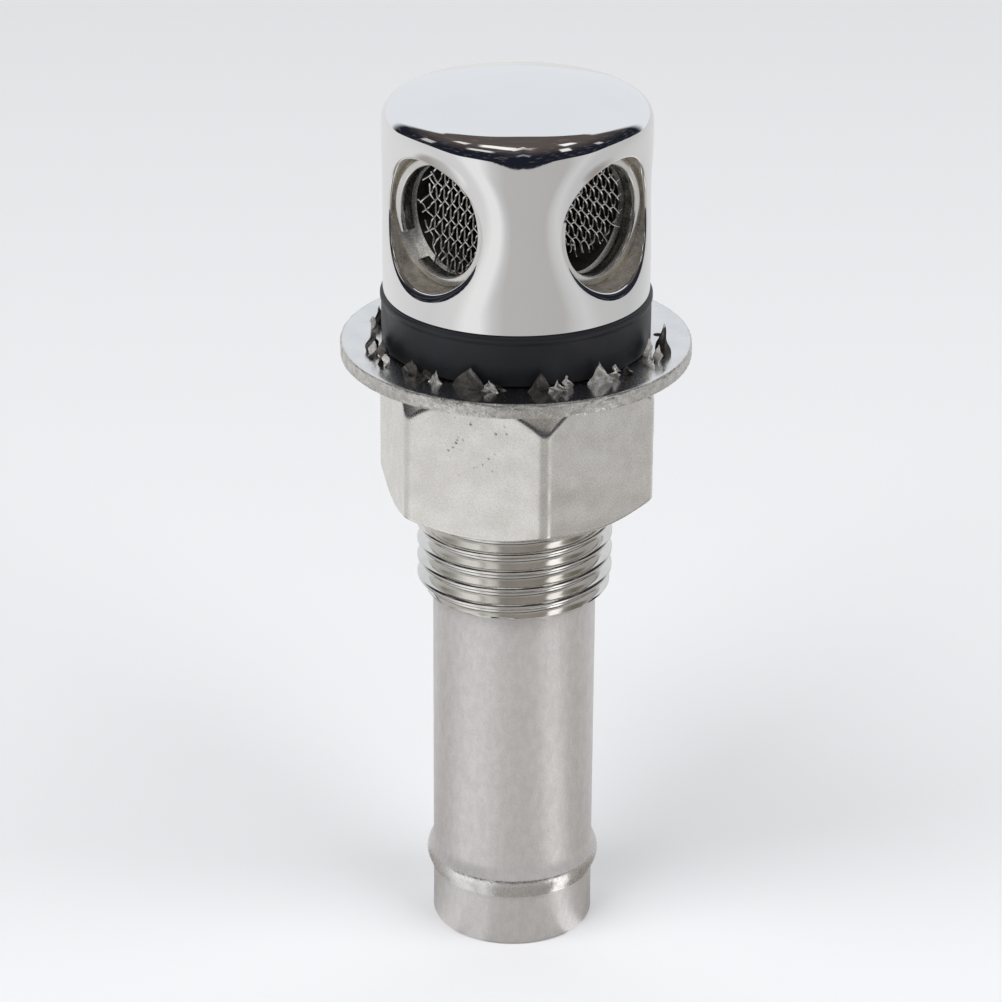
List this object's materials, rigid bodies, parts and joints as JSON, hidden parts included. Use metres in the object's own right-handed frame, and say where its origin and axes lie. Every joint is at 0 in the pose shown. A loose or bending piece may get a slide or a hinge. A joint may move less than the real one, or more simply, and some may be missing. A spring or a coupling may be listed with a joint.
{
  "type": "boat vent fitting",
  "caption": "Through-hull tank vent with hose tail, threaded shank, domed cap with screened ports, gasket, toothed washer and hex nut.",
  "frame": {"origin": "centre of the hose tail's foot, the lowest point of the fitting", "axes": "+Z along the vent passage, from the hose tail up to the domed cap; -Y is the side between the two ports"},
  "size_m": [0.0336, 0.0336, 0.0879],
  "materials": {
    "cast_steel": "tumbled satin stainless casting",
    "polished_steel": "mirror polished stainless",
    "ring_steel": "bright stainless ring",
    "screen_wire": "bright woven wire",
    "rubber": "smooth black rubber",
    "washer_steel": "punched stainless plate",
    "nut_steel": "machined satin stainless"
  },
  "bodies": {
    "fitting": {"vent_body": "cast_steel", "vent_cap": "polished_steel", "port_ring_left": "ring_steel", "port_ring_right": "ring_steel", "screen_left": "screen_wire", "screen_right": "screen_wire", "gasket": "rubber"},
    "washer": {"toothed_washer": "washer_steel"},
    "nut": {"hex_nut": "nut_steel"}
  },
  "joints": [
    {"name": "washer_slide", "type": "slide", "parent": "fitting", "child": "washer", "axis": [0, 0, -1], "range_m": [0, 0.01634]},
    {"name": "nut_turn", "type": "hinge", "parent": "washer", "child": "nut", "pos_m": [0, 0, 0.0538], "axis": [0, 0, -1], "range_deg": [0, 3240]}
  ],
  "couplings": [
    {"joint": "washer_slide", "follows": "nut_turn", "m_per_rad": 0.00028875}
  ]
}
